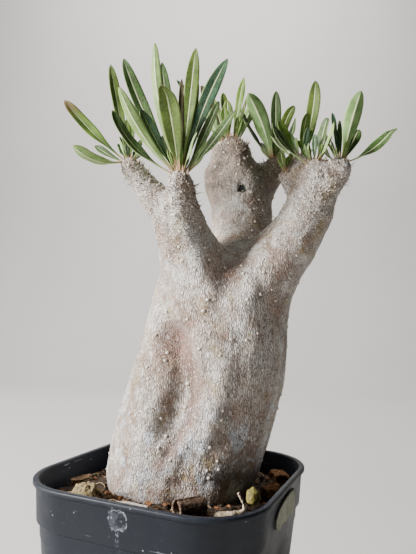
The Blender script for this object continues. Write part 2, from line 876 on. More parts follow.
@dataclass(frozen=True)
class LabelFinish:
    """A weathered paper scrap, streaked by water, with a darker torn edge."""

    face: Colour = (0.25, 0.26, 0.19)
    pale: Colour = (0.40, 0.41, 0.32)
    stain: Colour = (0.085, 0.08, 0.05)

    def build(self) -> bpy.types.Material:
        """Makes the material.

        Returns:
            The material.
        """
        g = Graph("torn_label")
        run = g.noise(1.0, 3, 0.65, g.stretched((1, 1, 0.12)), 0.3)
        blot = g.noise(4.5, 4, 0.65)
        colour = g.mix(g.mask(run, 0.36, 0.62), self.face, self.pale)
        colour = g.mix(g.sum("MULTIPLY", g.mask(run, 0.42, 0.30), 0.7), colour, self.stain)
        colour = g.mix(g.sum("MULTIPLY", g.mask(blot, 0.55, 0.7), 0.6), colour, self.stain)
        colour = g.mix(g.painted("torn"), colour, self.stain)
        relief = g.relief(run, 0.03, 0.4)
        relief = g.relief(g.noise(0.5, 3, 0.7), 0.06, 0.6, relief)
        return g.finish(colour, 0.82, relief, Specular_IOR_Level=0.3)


@dataclass(frozen=True)
class FloorFinish:
    """A plain pale studio surface."""

    colour: Colour = (0.58, 0.57, 0.55)

    def build(self) -> bpy.types.Material:
        """Makes the material.

        Returns:
            The material.
        """
        g = Graph("studio_floor")
        colour = g.mix(g.mask(g.noise(400, 2), 0.3, 0.7), self.colour, tuple(c * 0.96 for c in self.colour))
        return g.finish(colour, 0.9, Specular_IOR_Level=0.2)


# The plant


@dataclass(frozen=True)
class Head:
    """A growing tip: its middle in the plant's frame, in millimetres, and how wide its leaf bases stand."""

    name: str
    place: Spot
    girth: float


HEADS: tuple[Head, ...] = (
    Head("far_left", (-21.5, -16, 125), 4.6),
    Head("front", (-1, -28, 116), 5.4),
    Head("rear_left", (18, 18, 141), 9.5),
    Head("rear_right", (39.5, 24, 138), 5.6),
    Head("right_small", (39, -11, 124.5), 3.5),
    Head("right_middle", (48, -22, 123), 5.6),
    Head("right_back", (45.5, -7.5, 131), 4.5),
    Head("right", (57.5, -23, 124.5), 4.6),
)


@dataclass
class Caudex:
    """The swollen trunk and its branches. Places and sizes are in millimetres in the plant's frame."""

    voxel: float = 0.69
    settle: int = 26
    swell: float = 0.32
    lump_depth: float = 0.6
    wrinkle_depth: float = 0.20
    knob_radius: tuple[float, float] = (0.55, 0.82)
    scatter_seed: int = 5
    knob_tries: int = 1500
    knob_gap: float = 4.2
    knobs: tuple[Spot, ...] = (
        (-8.9, -17.2, 61.3), (-3.7, -22.2, 56.5), (-4.5, -22.3, 52.8), (-10.5, -18.4, 49.3),
        (-9.7, -19.9, 45.1), (2.4, -25.4, 44.5), (-3.2, -24.6, 36.2), (-4.2, -24.6, 32.0),
        (-2.9, -25.0, 27.2), (-5.5, -24.5, 22.4), (-1.4, -25.2, 18.4), (4.2, -25.4, 23.2),
        (12.3, -25.4, 23.4), (15.2, -24.3, 18.4), (11.7, -24.6, 15.1), (15.7, -23.9, 15.4),
        (7.8, -25.7, 33.3), (15.4, -25.6, 33.0), (16.0, -25.7, 36.3), (7.9, -25.5, 57.1),
        (5.5, -24.7, 61.5), (9.0, -24.7, 66.7), (18.5, -25.3, 60.8), (27.7, -23.1, 63.0),
        (30.1, -21.8, 50.5), (15.0, -25.5, 54.7), (16.5, -25.1, 29.2), (24.2, -24.3, 60.6),
        (34.5, -18.3, 65.4), (28.3, -18.6, 25.4), (1.8, -25.7, 36.8), (12.3, -24.3, 12.6),
        (-5.3, -18.6, 70.1), (8.7, -24.3, 70.6), (1.4, -22.0, 76.9), (28.6, -22.1, 77.1),
        (30.2, -21.2, 89.8), (10.2, -24.1, 74.5), (3.0, -23.6, 67.4), (39.4, -11.6, 61.6),
    )
    groove: tuple[Spot, ...] = (
        (2.5, -25.3, 54.0), (5.3, -25.7, 48.7), (6.3, -26.0, 44.9), (7.3, -25.9, 40.6), (5.8, -25.9, 35.0),
        (3.7, -25.9, 29.5), (0.6, -25.6, 24.5), (-2.6, -25.1, 19.9), (-5.3, -24.6, 15.4),
    )
    folds: tuple[tuple[tuple[Spot, ...], float, float], ...] = (
        (((5.3, -25.7, 48.7), (7.3, -25.9, 40.6), (3.7, -25.9, 29.5), (-2.6, -25.1, 19.9)), 3.4, -1.1),
        (((-3.5, -22.0, 60.0), (0.5, -24.5, 52.0), (2.5, -25.5, 42.0), (-2.0, -25.0, 29.0)), 8.5, -4.0),
        (((-6.0, -20.5, 65.0), (0.0, -23.0, 60.5)), 8.5, -2.8),
        (((13.0, -26.0, 61.0), (15.0, -26.0, 48.0), (12.0, -26.0, 32.0)), 10.0, 1.7),
        (((-13.0, -16.0, 48.0), (-11.0, -19.0, 36.0), (-13.0, -18.0, 24.0)), 11.0, 2.1),
        (((-6.0, -21.0, 78.0), (8.0, -24.0, 74.0), (24.0, -22.0, 72.0)), 8.5, 0.9),
        (((21.5, -12.0, 94.0), (20.0, -21.0, 87.0), (19.0, -22.5, 81.0)), 8.5, -1.7),
        (((2.0, -25.0, 98.0), (7.0, -24.0, 86.0), (10.0, -24.0, 76.0)), 6.5, 0.9),
        (((26.0, -23.0, 80.0), (25.0, -23.0, 62.0), (23.0, -23.0, 46.0)), 14.0, 1.0),
        (((-7.0, -26.0, 116.0), (-6.2, -27.4, 110.0), (-5.6, -27.0, 105.0), (-5.0, -25.5, 99.0)), 2.4, -1.1),
        (((-18.0, -12.0, 14.0), (0.0, -24.0, 9.0), (20.0, -22.0, 12.0)), 5.0, -0.5),
        (((8.0, 13.0, 131.0), (10.0, 12.0, 124.0)), 9.0, 3.4),
        (((10.0, 13.0, 151.0), (10.0, 20.0, 150.0)), 8.5, -2.8),
    )
    dent: tuple[Spot, float] = ((-2.5, -22.5, 59.0), 14.0)
    scar: Spot = (23.5, 3.8, 123.4)

    def build(self) -> bpy.types.Object:
        """Models the caudex from its CAD shape.

        Returns:
            The dressed piece, which replaces the CAD caudex.
        """
        thing = cad_copy("caudex", "caudex_bark")
        modify(thing, "REMESH", mode="VOXEL", voxel_size=self.voxel * MM)
        modify(thing, "SMOOTH", factor=0.5, iterations=self.settle)
        points = to_plant(points_of(thing))
        normals = normals_of(thing)
        masks = self.masks(points)
        lift = self.swell + self.relief(points, masks)
        move_points(thing, points_of(thing) + normals * (lift * MM)[:, None])
        for name, values in masks.items():
            paint(thing, name, values)
        smooth_shade(thing)
        self.set_knobs(thing, points)
        return finish_piece(thing, [BarkFinish().build()], ["caudex"])

    def set_knobs(self, thing: bpy.types.Object, points: np.ndarray) -> None:
        """Sets a small corky dome on the bark at each knob.

        Args:
            thing: The caudex.
            points: Its surface before the relief, in the plant's frame.
        """
        bpy.ops.object.select_all(action="DESELECT")
        bpy.ops.mesh.primitive_uv_sphere_add(segments=10, ring_count=6, radius=1)
        dome = added("knob")
        edit_all(dome)
        bpy.ops.transform.resize(value=(1, 0.86, 0.62), center_override=(0, 0, 0))
        leave_edit()
        skin = skin_of(thing)
        places = []
        for spot, radius in self.all_knobs(points):
            place, normal, _, _ = skin.find_nearest(to_world(spot))
            turn = (normal + Vector((0, 0, 0.25))).to_track_quat("Z", "Y").to_matrix().to_4x4()
            places.append(Matrix.Translation(place) @ turn @ Matrix.Scale(radius * MM, 4))
        finish_piece(place_copies("bark_knobs", [dome], places), [KnobFinish().build()])
        discard(dome)

    def masks(self, points: np.ndarray) -> dict[str, np.ndarray]:
        """Works out where each kind of bark is.

        Args:
            points: The surface, in the plant's frame.

        Returns:
            A number from 0 to 1 for each vertex, under each mask's name.
        """
        nearest = np.full(len(points), 1e9)
        for head in HEADS:
            away = np.linalg.norm(points - np.array(head.place), axis=1) - head.girth
            nearest = np.minimum(nearest, away)
        fork = np.asarray(ease((points[:, 2] - 84) / 12))
        left = np.asarray(ease((8 - points[:, 0]) / 10))
        rear = np.asarray(ease((points[:, 1] - 1) / 9)) * fork
        shoulder = np.asarray(ease((points[:, 2] - 66) / 10)) * left
        pit = self.near_spot(points + bumps(points, 2.5, 4.4, 2)[:, None] * 1.5, self.scar, 4.2)
        hollow = self.near_line(points, self.groove, 4.6) * 0.85
        hollow = hollow + self.near_spot(points, self.dent[0], self.dent[1]) * 1.1
        hollow = hollow + self.near_spot(points, (17, -22, 84), 9) * 0.7
        heads = np.asarray(ease(1 - nearest / 34))
        return {
            "heads": heads,
            "rings": np.clip(fork * 0.55 + shoulder * 0.5, 0, 1),
            "hollow": np.clip(hollow, 0, 1),
            "rear": rear,
            "low": np.asarray(ease(1 - points[:, 2] / 10)),
            "frosted": np.asarray(ease((44 - points[:, 2]) / 18)),
            "knob_under": self.knob_shade(points),
            "pit": pit,
        }

    def near_spot(self, points: np.ndarray, spot: Spot, reach: float) -> np.ndarray:
        """1 at a spot, falling smoothly to 0 at its reach."""
        return np.asarray(ease(1 - np.linalg.norm(points - np.array(spot), axis=1) / reach))

    def near_line(self, points: np.ndarray, line: Sequence[Spot], reach: float) -> np.ndarray:
        """1 on a line, falling smoothly to 0 at its reach on each side.

        Args:
            points: The points.
            line: The line's corners.
            reach: The reach.

        Returns:
            A number for each point.
        """
        stops = np.array(line, float)
        best = np.full(len(points), 1e9)
        for start, end in zip(stops, stops[1:]):
            run = end - start
            share = np.clip((points - start) @ run / (run @ run), 0, 1)
            best = np.minimum(best, np.linalg.norm(points - start - share[:, None] * run, axis=1))
        return np.asarray(ease(1 - best / reach))

    def all_knobs(self, points: np.ndarray) -> list[tuple[Spot, float]]:
        """The named knobs, and others scattered over the rest of the bark, each with its radius.

        Args:
            points: The surface.

        Returns:
            Each knob's place and radius.
        """
        draw = random.Random(self.scatter_seed)
        knobs = [(spot, draw.uniform(*self.knob_radius)) for spot in self.knobs]
        for _ in range(self.knob_tries):
            spot = tuple(points[draw.randrange(len(points))])
            mapped = spot[1] < -12 and spot[2] < 72
            if spot[2] < 3 or mapped or any(math.dist(spot, old) < self.knob_gap for old, _ in knobs):
                continue
            knobs.append((spot, draw.uniform(self.knob_radius[0] * 0.8, self.knob_radius[1] * 0.95)))
        return knobs

    def knob_shade(self, points: np.ndarray) -> np.ndarray:
        """The dark crescent under each knob.

        Args:
            points: The surface.

        Returns:
            A number from 0 to 1 for each vertex.
        """
        tree = KDTree(len(points))
        for index, point in enumerate(points):
            tree.insert(point, index)
        tree.balance()
        under = np.zeros(len(points))
        for spot, radius in self.all_knobs(points):
            lower = (spot[0] - radius * 0.4, spot[1], spot[2] - radius * 0.9)
            for _, index, away in tree.find_range(lower, radius * 1.1):
                under[index] = max(under[index], 1 - away / radius / 1.1)
        return under

    def relief(self, points: np.ndarray, masks: dict[str, np.ndarray]) -> np.ndarray:
        """How far each vertex stands off the smoothed shape, in millimetres.

        Args:
            points: The surface.
            masks: Where each kind of bark is.

        Returns:
            A height for each vertex.
        """
        lumps = bumps(points, 15, 3.1, 2) * self.lump_depth
        warts = bumps(points, 2.8, 7.7, 3) * masks["heads"] * 0.34
        drawn = points * np.array([1, 1, 0.22])
        drawn[:, 0] -= points[:, 2] * 0.05
        along = -np.abs(bumps(drawn, 2.6, 1.3, 3)) * self.wrinkle_depth * (1 - masks["rings"])
        hoops = points * np.array([0.35, 0.35, 1.4])
        across = -np.abs(bumps(hoops, 2.4, 9.4, 2)) * self.wrinkle_depth * 2.2 * masks["rings"]
        grain = bumps(points, 1.3, 5.2, 1) * 0.06
        depth = masks["pit"] * -1.6
        for line, reach, height in self.folds:
            depth = depth + self.near_line(points, line, reach) * height
        foot = -np.asarray(ease(1 - points[:, 2] / 9)) * 0.8
        return lumps + warts + along + across + grain + depth + foot


@dataclass
class Spines:
    """The dead spines, leaf scars and papery leaf bases that cover the branches below each head."""

    seed: int = 21
    spine_length: tuple[float, float] = (1.2, 3.4)
    scale_length: tuple[float, float] = (0.5, 1.0)
    base_length: tuple[float, float] = (1.6, 3.2)
    spines_each: int = 30
    scales_each: int = 150
    bases_each: int = 22
    long_spines: tuple[tuple[Spot, float], ...] = (
        ((7.4, -27.5, 115.5), 3.4), ((7.8, -26.5, 113.6), 3.8), ((6.6, -29.0, 112.2), 2.8),
        ((7.6, -27.8, 109.0), 3.0), ((7.2, -26.0, 107.4), 3.6), ((8.4, -27.0, 104.0), 2.6),
        ((-4.6, -31.5, 112.5), 2.4), ((61.5, -22.0, 117.0), 2.4), ((62.0, -24.0, 113.0), 2.0),
        ((-23.5, -18.0, 118.0), 2.6), ((-22.0, -19.0, 115.0), 2.2),
    )
    near: dict[str, list[Any]] = field(default_factory=dict)

    def master(self, name: str, sides: int, width: float, flat: float, hook: float) -> bpy.types.Object:
        """Models a spine or scale 1 m long, standing on the origin and pointing up.

        Args:
            name: Its name.
            sides: How many sides it has.
            width: Its width at the foot, as a share of its length.
            flat: Its depth as a share of its width.
            hook: How far its tip bends over, as a share of its length.

        Returns:
            The shape.
        """
        bpy.ops.object.select_all(action="DESELECT")
        bpy.ops.mesh.primitive_cone_add(vertices=sides, radius1=width / 2, radius2=width * 0.05, depth=1)
        thing = added(name)
        edit_all(thing)
        bpy.ops.mesh.bisect(plane_co=(0, 0, -0.1), plane_no=(0, 0, 1))
        bpy.ops.mesh.select_all(action="SELECT")
        bpy.ops.transform.translate(value=(0, 0, 0.42))
        leave_edit()
        for vert in thing.data.vertices:
            bend = max(vert.co.z, 0) ** 2
            vert.co.y = vert.co.y * flat + hook * bend
        return thing

    def spots(self, head: Head, count: int, reach: float, rise: float, draw: random.Random) -> list[Any]:
        """Places on the bark round a head, each with its normal, closer together near the head.

        Args:
            head: The head.
            count: How many places, at most.
            reach: How quickly they thin out, in millimetres.
            rise: The least upward share of their normals.
            draw: Its random numbers.

        Returns:
            The places found, which may be fewer.
        """
        middle = to_world(head.place)
        found: list[Any] = []
        verts = self.near[head.name]
        for _ in range(count * 12):
            place, normal, away = verts[draw.randrange(len(verts))]
            if draw.random() > math.exp(-max(away / MM - head.girth, 0) / reach):
                continue
            steep = (place - middle).normalized().z > 0.75
            if (steep and rise < 0) or normal.z < rise or any((place - old).length < 0.55 * MM for old, _ in found):
                continue
            found.append((place, normal))
            if len(found) == count:
                break
        return found

    def stand(self, place: Vector, normal: Vector, lean: float, length: float, draw: random.Random) -> Matrix:
        """A matrix that stands a master on the bark, leaning up the branch.

        Args:
            place: Where it stands.
            normal: The bark's normal there.
            lean: How far it leans upwards, 0 to 1.
            length: Its length in millimetres.
            draw: Its random numbers.

        Returns:
            The matrix.
        """
        up = normal * (1 - lean) + Vector((0, 0, lean))
        up += Vector((draw.gauss(0, 0.16), draw.gauss(0, 0.16), draw.gauss(0, 0.16)))
        turn = up.to_track_quat("Z", "Y").to_matrix().to_4x4()
        spin = Matrix.Rotation(draw.uniform(0, math.tau), 4, "Z")
        return Matrix.Translation(place) @ turn @ spin @ Matrix.Scale(length * MM, 4)

    def build(self, skin: bpy.types.Object) -> None:
        """Covers each head's branch.

        Args:
            skin: The finished bark that they stand on.
        """
        spine = self.master("spine", 5, 0.11, 1.0, 0.18)
        scale = self.master("scale", 5, 0.85, 0.55, 0.25)
        base = self.master("leaf_base", 6, 0.34, 0.5, 0.12)
        points, normals = points_of(skin), normals_of(skin)
        for head in HEADS:
            away = np.linalg.norm(points - np.array(to_world(head.place)), axis=1)
            close = np.flatnonzero(away < (head.girth + 22) * MM)[::7]
            self.near[head.name] = [(Vector(points[i]), Vector(normals[i]), away[i]) for i in close]
        spine_finish = SpineFinish("dead_spine", (0.24, 0.18, 0.12), (0.045, 0.03, 0.02)).build()
        scale_finish = SpineFinish("leaf_scar", (0.66, 0.60, 0.51), (0.36, 0.28, 0.20)).build()
        base_finish = SpineFinish("leaf_base", (0.58, 0.44, 0.30), (0.34, 0.17, 0.09)).build()
        for number, head in enumerate(HEADS):
            draw = random.Random(self.seed + number)
            share = head.girth / 5
            for kind, master, finish, count, lean, reach, rise, lengths in (
                ("spines", spine, spine_finish, self.spines_each, 0.35, 5.0, -1.0, self.spine_length),
                ("scars", scale, scale_finish, self.scales_each, 0.55, 7.5, -1.0, self.scale_length),
                ("leaf_bases", base, base_finish, self.bases_each, 0.62, 1.0, 0.45, self.base_length),
            ):
                found = self.spots(head, int(count * share), reach, rise, draw)
                places = [self.stand(place, normal, lean, draw.uniform(*lengths), draw) for place, normal in found]
                finish_piece(place_copies(f"{kind}_{head.name}", [master], places), [finish])
        self.stand_long_spines(spine, skin)
        discard(spine, scale, base)

    def stand_long_spines(self, spine: bpy.types.Object, skin: bpy.types.Object) -> None:
        """Stands the few long, dark spines that show against the light.

        Args:
            spine: The shape that is copied.
            skin: The finished bark.
        """
        bark = skin_of(skin)
        draw = random.Random(self.seed)
        places = []
        for spot, length in self.long_spines:
            place, normal, _, _ = bark.find_nearest(to_world(spot))
            places.append(self.stand(place, normal, 0.22, length, draw))
        black = SpineFinish("black_spine", (0.060, 0.045, 0.034), (0.018, 0.013, 0.010)).build()
        finish_piece(place_copies("long_spines", [spine], places), [black])


@dataclass(frozen=True)
class Blade:
    """How one leaf is dressed: its green, the side that shows in front, its waves and its tip.

    The wave and the hook are in millimetres, and the scorch is the share of its length that is brown.
    """

    tone: Tone
    seen: Side
    wave: float = 0.25
    hook: float = 0.0
    scorch: float = 0.0


OLIVE, DARK, BLUE, BRIGHT, BROWN = Tone
UPPER, UNDER = Side

CAD_LEAVES: dict[str, tuple[Blade, ...]] = {
    "far_left": (
        Blade(BRIGHT, UPPER, scorch=0.35), Blade(BRIGHT, UNDER), Blade(DARK, UPPER), Blade(OLIVE, UPPER),
        Blade(OLIVE, UPPER), Blade(BRIGHT, UPPER),
    ),
    "front": (
        Blade(DARK, UPPER), Blade(BRIGHT, UNDER), Blade(DARK, UPPER), Blade(BRIGHT, UNDER), Blade(BLUE, UPPER),
        Blade(DARK, UPPER), Blade(OLIVE, UPPER, 0.35, -1.0), Blade(OLIVE, UNDER), Blade(OLIVE, UPPER),
        Blade(BLUE, UPPER), Blade(DARK, UPPER), Blade(DARK, UPPER), Blade(BLUE, UPPER),
    ),
    "rear_left": (
        Blade(BRIGHT, UPPER), Blade(OLIVE, UPPER), Blade(OLIVE, UPPER), Blade(OLIVE, UPPER), Blade(BRIGHT, UPPER),
        Blade(BLUE, UNDER), Blade(BLUE, UNDER), Blade(BROWN, UPPER), Blade(BLUE, UPPER), Blade(OLIVE, UPPER),
    ),
    "rear_right": (
        Blade(BLUE, UNDER), Blade(DARK, UPPER), Blade(DARK, UPPER), Blade(DARK, UPPER), Blade(OLIVE, UPPER),
        Blade(DARK, UPPER),
    ),
    "right_small": (Blade(OLIVE, UPPER),),
    "right_middle": (Blade(DARK, UPPER), Blade(DARK, UPPER), Blade(OLIVE, UPPER)),
    "right_back": (Blade(BRIGHT, UPPER), Blade(BRIGHT, UPPER), Blade(OLIVE, UPPER), Blade(BRIGHT, UNDER)),
    "right": (Blade(BLUE, UNDER), Blade(DARK, UPPER), Blade(DARK, UPPER, 0.3, 1.2)),
}


@dataclass(frozen=True)
class SmallLeaf:
    """A young leaf that has no CAD node. Angles are in degrees and lengths in millimetres.

    The bearing is seen from above, counter-clockwise from across, and the rise is above the horizontal. The
    arc is how far it bends up, and the roll how far its face turns.
    """

    head: str
    bearing: float
    rise: float
    length: float
    breadth: float
    arc: float
    roll: float
    blade: Blade


SMALL_LEAVES: tuple[SmallLeaf, ...] = (
    SmallLeaf("far_left", 120, 66, 10, 2.4, 10, 0, Blade(OLIVE, UPPER)),
    SmallLeaf("far_left", 150, 58, 8, 2.2, 10, -20, Blade(BLUE, UPPER)),
    SmallLeaf("far_left", 60, 62, 11, 2.6, 10, 20, Blade(OLIVE, UPPER)),
    SmallLeaf("far_left", 80, 40, 14, 3.4, 20, 0, Blade(DARK, UPPER)),
    SmallLeaf("far_left", 180, 70, 9, 2.0, 10, 0, Blade(DARK, UPPER)),
    SmallLeaf("front", 150, 70, 34, 2.2, 8, -20, Blade(BROWN, UPPER)),
    SmallLeaf("front", 80, 74, 44, 2.4, 5, 10, Blade(OLIVE, UPPER)),
    SmallLeaf("front", 100, 80, 38, 2.4, 0, 0, Blade(BROWN, UPPER)),
    SmallLeaf("front", 60, 76, 38, 3.0, 0, 10, Blade(OLIVE, UPPER)),
    SmallLeaf("front", 90, 50, 30, 4.6, 10, 0, Blade(DARK, UPPER)),
    SmallLeaf("front", 65, 46, 26, 4.4, 20, 0, Blade(OLIVE, UPPER)),
    SmallLeaf("front", 118, 52, 24, 4.2, 20, 0, Blade(DARK, UPPER)),
    SmallLeaf("rear_left", 160, 62, 14, 3.2, 10, 0, Blade(OLIVE, UPPER)),
    SmallLeaf("rear_left", 60, 66, 16, 3.6, 10, 0, Blade(BRIGHT, UPPER)),
    SmallLeaf("rear_left", 100, 40, 26, 4.6, 30, 0, Blade(DARK, UPPER)),
    SmallLeaf("rear_left", 75, 46, 24, 4.6, 20, 0, Blade(OLIVE, UPPER)),
    SmallLeaf("rear_left", 135, 36, 22, 4.4, 30, 0, Blade(DARK, UPPER)),
    SmallLeaf("rear_right", 100, 70, 18, 2.2, 5, 0, Blade(BLUE, UPPER)),
    SmallLeaf("rear_right", 140, 72, 20, 2.0, 0, 0, Blade(OLIVE, UPPER)),
    SmallLeaf("rear_right", 70, 48, 17, 4.6, 20, 0, Blade(DARK, UPPER)),
    SmallLeaf("rear_right", 110, 48, 18, 4.6, 20, 0, Blade(OLIVE, UPPER)),
    SmallLeaf("right_small", -60, 70, 6, 1.6, 0, 0, Blade(OLIVE, UPPER)),
    SmallLeaf("right_small", 60, 60, 7, 2.2, 0, 0, Blade(DARK, UPPER)),
    SmallLeaf("right_middle", 120, 58, 12, 3.4, 10, 0, Blade(BRIGHT, UPPER)),
    SmallLeaf("right_back", 0, 50, 12, 3.2, 10, 0, Blade(OLIVE, UPPER)),
    SmallLeaf("right_back", 100, 50, 20, 4.2, 20, 0, Blade(DARK, UPPER)),
    SmallLeaf("right_back", 135, 44, 18, 4.0, 20, 0, Blade(OLIVE, UPPER)),
    SmallLeaf("right", 110, 76, 20, 2.2, 0, 0, Blade(BLUE, UPPER)),
    SmallLeaf("right", 80, 72, 18, 1.8, 0, 0, Blade(DARK, UPPER)),
    SmallLeaf("right", 120, 48, 17, 4.0, 20, 0, Blade(OLIVE, UPPER)),
    SmallLeaf("right", 150, 66, 13, 2.8, 0, 0, Blade(BRIGHT, UPPER)),
)


@dataclass
class LeafRun:
    """A leaf's run from stalk to tip: middles, side and upper directions, and half widths, one a section."""

    middle: np.ndarray
    side: np.ndarray
    upper: np.ndarray
    half: np.ndarray
    share: np.ndarray


@dataclass
class Foliage:
    """All the leaves. Sizes are in millimetres."""

    columns: int = 10
    rows: int = 34
    thick: float = 0.62
    thin: float = 0.16
    fold: float = 0.13
    rib_depth: float = 0.22
    root: float = 1.6
    seed: int = 8
    inner_each: int = 5
    outline: tuple[tuple[float, float], ...] = (
        (0.00, 0.26), (0.12, 0.34), (0.28, 0.60), (0.45, 0.87), (0.62, 1.00), (0.78, 0.94), (0.90, 0.68), (0.97, 0.36),
        (1.00, 0.05),
    )
    finishes: dict[Tone, tuple[bpy.types.Material, bpy.types.Material]] = field(default_factory=dict)

    def master(self) -> bpy.types.Object:
        """Models the flat blade that all leaves are bent from.

        It is 1 across and 1 along from the origin, with its upper side at z = 0.5 and its under side at
        z = -0.5, in a material slot of its own.

        Returns:
            The blade.
        """
        bpy.ops.object.select_all(action="DESELECT")
        bpy.ops.mesh.primitive_grid_add(x_subdivisions=self.columns, y_subdivisions=self.rows, size=1)
        thing = added("blade")
        edit_all(thing)
        bpy.ops.transform.translate(value=(0, 0.5, 0))
        leave_edit()
        for finish in self.finishes[Tone.OLIVE]:
            thing.data.materials.append(finish)
        modify(thing, "SOLIDIFY", thickness=1, offset=0, material_offset=1, material_offset_rim=1)
        return thing

    def run_of_node(self, node: str, bark: BVHTree) -> LeafRun:
        """Reads a CAD leaf's sections from its stalk to its tip.

        Args:
            node: The CAD leaf.
            bark: The bark, which is nearest its stalk.

        Returns:
            The leaf's run.
        """
        helper = cad_copy(node, "leaf_guide")
        points = points_of(helper)
        edges = [tuple(e.vertices) for e in helper.data.edges]
        near: dict[int, set[int]] = {i: set() for i in range(len(points))}
        for a, b in edges:
            near[a].add(b)
            near[b].add(a)
        away = np.array([bark.find_nearest(Vector(p))[3] for p in points])
        middle = points.mean(0)
        start = points[int(away.argmin())]
        outwards = (middle - start) / np.linalg.norm(middle - start)
        caps = [f for f in helper.data.polygons if -np.dot(f.normal, outwards) > 0.75]
        caps.sort(key=lambda f: float(np.dot(np.array(f.center) - start, outwards)))
        ring = set(caps[0].vertices) | set(caps[1].vertices)
        rings, used = [sorted(ring)], set(ring)
        while len(used) < len(points):
            ring = {n for i in ring for n in near[i]} - used
            used |= ring
            rings.append(sorted(ring))
        discard(helper)
        return self.read_rings([points[r] for r in rings])

    def read_rings(self, rings: list[np.ndarray]) -> LeafRun:
        """Turns rings of four points into a run of sections.

        Args:
            rings: Four points for each section, from stalk to tip.

        Returns:
            The leaf's run.
        """
        middles = np.array([ring.mean(0) for ring in rings])
        lengths = np.concatenate([[0], np.cumsum(np.linalg.norm(np.diff(middles, axis=0), axis=1))])
        widest = max(range(len(rings)), key=lambda i: float(np.ptp(rings[i], axis=0).sum()))
        order = list(range(widest, len(rings))) + list(range(widest - 1, -1, -1))
        frames: dict[int, tuple[np.ndarray, np.ndarray, float]] = {}
        for index in order:
            ring = rings[index]
            if index == widest:
                pairs = [(float(np.linalg.norm(ring[a] - ring[b])), a, b) for a in range(4) for b in range(a)]
                _, a, b = max(pairs)
                side = ring[a] - ring[b]
            else:
                last = frames[index - 1 if index > widest else index + 1][0]
                options = [(ring[a] - ring[b], a, b) for a in range(4) for b in range(4) if a != b]
                side, a, b = max(options, key=lambda o: float(np.dot(o[0], last)))
            rest = [i for i in range(4) if i not in (a, b)]
            raised = (ring[a] + ring[b]) / 2 - (ring[rest[0]] + ring[rest[1]]) / 2
            half = float(np.linalg.norm(side)) / 2
            frames[index] = (side / (2 * half), raised, half)
        sides = [frames[i][0] for i in range(len(rings))]
        halves = [frames[i][2] for i in range(len(rings))]
        sign = np.sign(np.dot(np.cross(sides[widest], self.run_at(middles, widest)), frames[widest][1]))
        uppers = [np.cross(side, self.run_at(middles, i)) * sign for i, side in enumerate(sides)]
        uppers = [upper / np.linalg.norm(upper) for upper in uppers]
        return LeafRun(middles, np.array(sides) * sign, np.array(uppers), np.array(halves), lengths / lengths[-1])

    @staticmethod
    def run_at(middles: np.ndarray, index: int) -> np.ndarray:
        """The direction of a leaf's run at one section."""
        run = middles[min(index + 1, len(middles) - 1)] - middles[max(index - 1, 0)]
        return run / np.linalg.norm(run)

    def run_grown(self, leaf: SmallLeaf, bark: BVHTree) -> LeafRun:
        """Works out the sections of a leaf that has no CAD node.

        Args:
            leaf: The young leaf.
            bark: The bark that it grows from.

        Returns:
            The leaf's run.
        """
        head = next(h for h in HEADS if h.name == leaf.head)
        bearing = math.radians(leaf.bearing) + PLANT_TURN
        rise, arc = math.radians(leaf.rise), math.radians(leaf.arc)
        outward = Vector((math.cos(bearing), math.sin(bearing), 0))
        along = outward * math.cos(rise) + Vector((0, 0, math.sin(rise)))
        face = Vector((0, 0, math.cos(rise))) - outward * math.sin(rise)
        middle = to_world(head.place)
        base = bark.ray_cast(middle, along)[0] or middle
        length = leaf.length * MM
        middles, sides, uppers, halves = [], [], [], []
        for share, width in self.outline:
            run = (along - face * arc / 2 * (1 - 2 * share)).normalized()
            upper = (face - run * face.dot(run)).normalized()
            upper.rotate(Matrix.Rotation(math.radians(leaf.roll) * min(share / 0.35, 1), 3, run))
            middles.append(base + along * length * share - face * length * arc / 2 * share * (1 - share))
            sides.append(run.cross(upper))
            uppers.append(upper)
            halves.append(leaf.breadth * MM / 2 * width)
        shares = [share for share, _ in self.outline]
        return LeafRun(*(np.array(x) for x in (middles, sides, uppers, halves, shares)))

    def bend(
        self, name: str, run: LeafRun, blade: Blade, master: bpy.types.Object, draw: random.Random
    ) -> bpy.types.Object:
        """Bends a copy of the master blade along a leaf's run.

        Args:
            name: The leaf's name.
            run: Its run.
            blade: How it is dressed.
            master: The flat blade.
            draw: Its random numbers.

        Returns:
            The leaf.
        """
        thing = bpy.data.objects.new(name, master.data.copy())
        bpy.context.scene.collection.objects.link(thing)
        flat = points_of(thing)
        u = flat[:, 0] * 2
        v = 0.5 * (1 - (1 - flat[:, 1]) ** 1.35) + 0.5 * flat[:, 1]
        top = flat[:, 2] > 0
        eye = np.array(to_world(VIEWER))
        middle = run.middle[len(run.middle) // 2]
        faces_eye = float(np.dot(run.upper[len(run.upper) // 2], eye - middle)) > 0
        flip = faces_eye != (blade.seen is Side.UPPER)
        upper = -run.upper if flip else run.upper
        side = -run.side if flip else run.side
        at = np.clip(v, 0, 1)
        centre = self.smooth(run.share, run.middle, at)
        across = self.smooth(run.share, side, at)
        normal = self.smooth(run.share, upper, at)
        half = self.smooth(run.share, run.half[:, None], at)[:, 0]
        direction = run.middle[1] - run.middle[0]
        direction /= np.linalg.norm(direction)
        back = np.clip(1 - flat[:, 1] * self.rows / 2.5, 0, 1)
        centre = centre - direction * (back * self.root * MM)[:, None]
        breadth = float(run.half.max())
        phase, beat = draw.uniform(0, math.tau), draw.uniform(1.2, 2.2)
        wave = np.sin(v * math.tau * beat + phase) * blade.wave * MM * (np.abs(u) ** 2) * np.sign(u) * ease(v * 3)
        drop = half * self.fold * (np.abs(u) ** 1.4 - 0.3) * 2
        body = np.sqrt(np.clip(1 - np.abs(u) ** 2.2, 0, 1)) * half / breadth
        thickness = (self.thin + (self.thick - self.thin) * body) / 2 * MM
        rib = np.exp(-((u / 0.13) ** 2)) * self.rib_depth * MM * ease((1 - v) * 6) * (0.35 + 0.65 * half / breadth)
